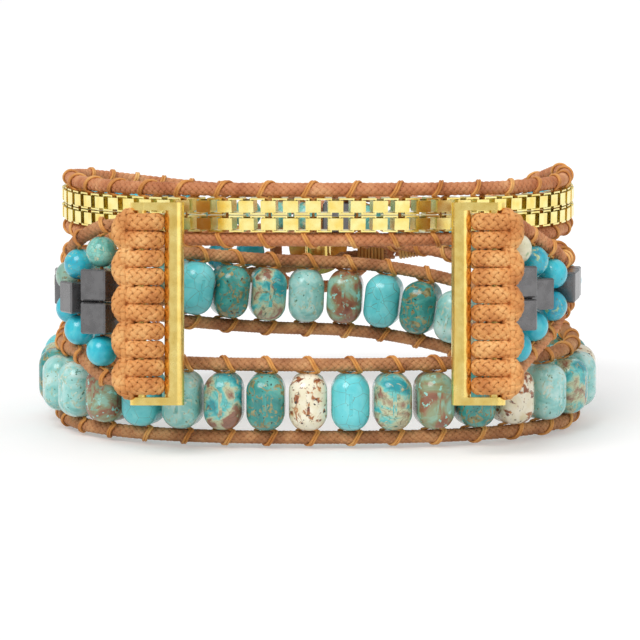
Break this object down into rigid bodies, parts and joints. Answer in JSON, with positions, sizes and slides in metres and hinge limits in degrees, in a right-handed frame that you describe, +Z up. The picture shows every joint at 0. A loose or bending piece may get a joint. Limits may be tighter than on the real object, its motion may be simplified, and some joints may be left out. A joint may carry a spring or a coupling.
{
  "type": "bead watch band",
  "caption": "Wrap watch band of corded stone beads, hematite cubes and gold box chain, with knotted bead triangles, metal lug connectors and a button and loop at the back.",
  "frame": {"origin": "centre of the bounding box in plan, on the surface that the band stands on", "axes": "+X across the watch, towards the wearer's side where the chain strap starts, +Y from the watch towards the closure at the back, +Z up along the wrist"},
  "size_m": [0.074, 0.0702, 0.0348],
  "materials": {
    "cord_orange": "braided waxed cord, orange tan",
    "cord_tan": "braided waxed cord, reddish tan",
    "cord_brown": "braided waxed cord, brown",
    "thread": "waxed sewing thread, golden brown",
    "gold": "polished gold-coloured plating",
    "hematite": "polished hematite, metallic grey",
    "turquoise": "polished turquoise-coloured jasper with cream and brown veins",
    "stone_blue": "polished bright turquoise",
    "stone_green": "polished green with olive and gold matrix",
    "stone_pale": "polished pale aqua, finely speckled",
    "stone_olive": "polished olive and red-brown with aqua dots",
    "stone_cream": "polished cream with red-brown patches",
    "stone_mixed": "polished patchwork of turquoise, brown and cream"
  },
  "bodies": {
    "band": {"left_knot_1": "cord_orange", "left_knot_2": "cord_orange", "left_knot_3": "cord_orange", "left_knot_4": "cord_orange", "left_knot_5": "cord_orange", "left_triangle_rounds": "turquoise", "left_triangle_cubes": "hematite", "left_triangle_threads": "thread", "left_strap_rounds": "turquoise", "left_strap_cubes": "hematite", "left_bead_threads": "thread", "left_upper_cord": "cord_brown", "left_lower_cord": "cord_brown", "left_end_whipping": "thread", "right_knot_1": "cord_orange", "right_knot_2": "cord_orange", "right_knot_3": "cord_orange", "right_knot_4": "cord_orange", "right_knot_5": "cord_orange", "right_triangle_rounds": "turquoise", "right_triangle_cubes": "hematite", "right_triangle_threads": "thread", "right_strap_rounds": "turquoise", "right_strap_cubes": "hematite", "right_bead_threads": "thread", "right_upper_cord": "cord_tan", "right_lower_cord": "cord_tan", "right_end_whipping": "thread", "stones_blue": "stone_blue", "stones_green": "stone_green", "stones_pale": "stone_pale", "stones_olive": "stone_olive", "stones_cream": "stone_cream", "stones_mixed": "stone_mixed", "stone_threads": "thread", "chain_upper_row": "gold", "chain_lower_row": "gold", "chain_threads": "thread", "button_thread": "thread"},
    "left_connector": {"left_connector_frame": "gold", "left_connector_pin": "gold", "left_latch_spring": "gold"},
    "left_latch": {"left_latch": "gold"},
    "right_connector": {"right_connector_frame": "gold", "right_connector_pin": "gold", "right_latch_spring": "gold"},
    "right_latch": {"right_latch": "gold"},
    "button": {"button": "gold"},
    "loop": {"loop_cord": "cord_tan"}
  },
  "joints": [
    {"name": "left_connector_hinge", "type": "hinge", "parent": "band", "child": "left_connector", "pos_m": [-0.02235, -0.03102, 0.0196], "axis": [0, 0.1305, 0.9914], "range_deg": [-30, 40]},
    {"name": "left_latch_slide", "type": "slide", "parent": "left_connector", "child": "left_latch", "axis": [0, -0.9914, 0.1305], "range_m": [0, 0.0005], "stiffness_N_per_m": 200, "springref_m": -0.0005},
    {"name": "right_connector_hinge", "type": "hinge", "parent": "band", "child": "right_connector", "pos_m": [0.02245, -0.03102, 0.0196], "axis": [0, -0.1305, -0.9914], "range_deg": [-30, 40]},
    {"name": "right_latch_slide", "type": "slide", "parent": "right_connector", "child": "right_latch", "axis": [0, -0.9914, 0.1305], "range_m": [0, 0.0005], "stiffness_N_per_m": 200, "springref_m": -0.0005},
    {"name": "loop_lift", "type": "hinge", "parent": "band", "child": "loop", "pos_m": [0.01065, 0.03258, 0.0186], "axis": [0, 0, -1], "range_deg": [0, 60]},
    {"name": "button_swivel", "type": "hinge", "parent": "band", "child": "button", "pos_m": [0.00005, 0.02908, 0.0186], "axis": [0, 1, 0], "range_deg": [-8, 8]}
  ]
}
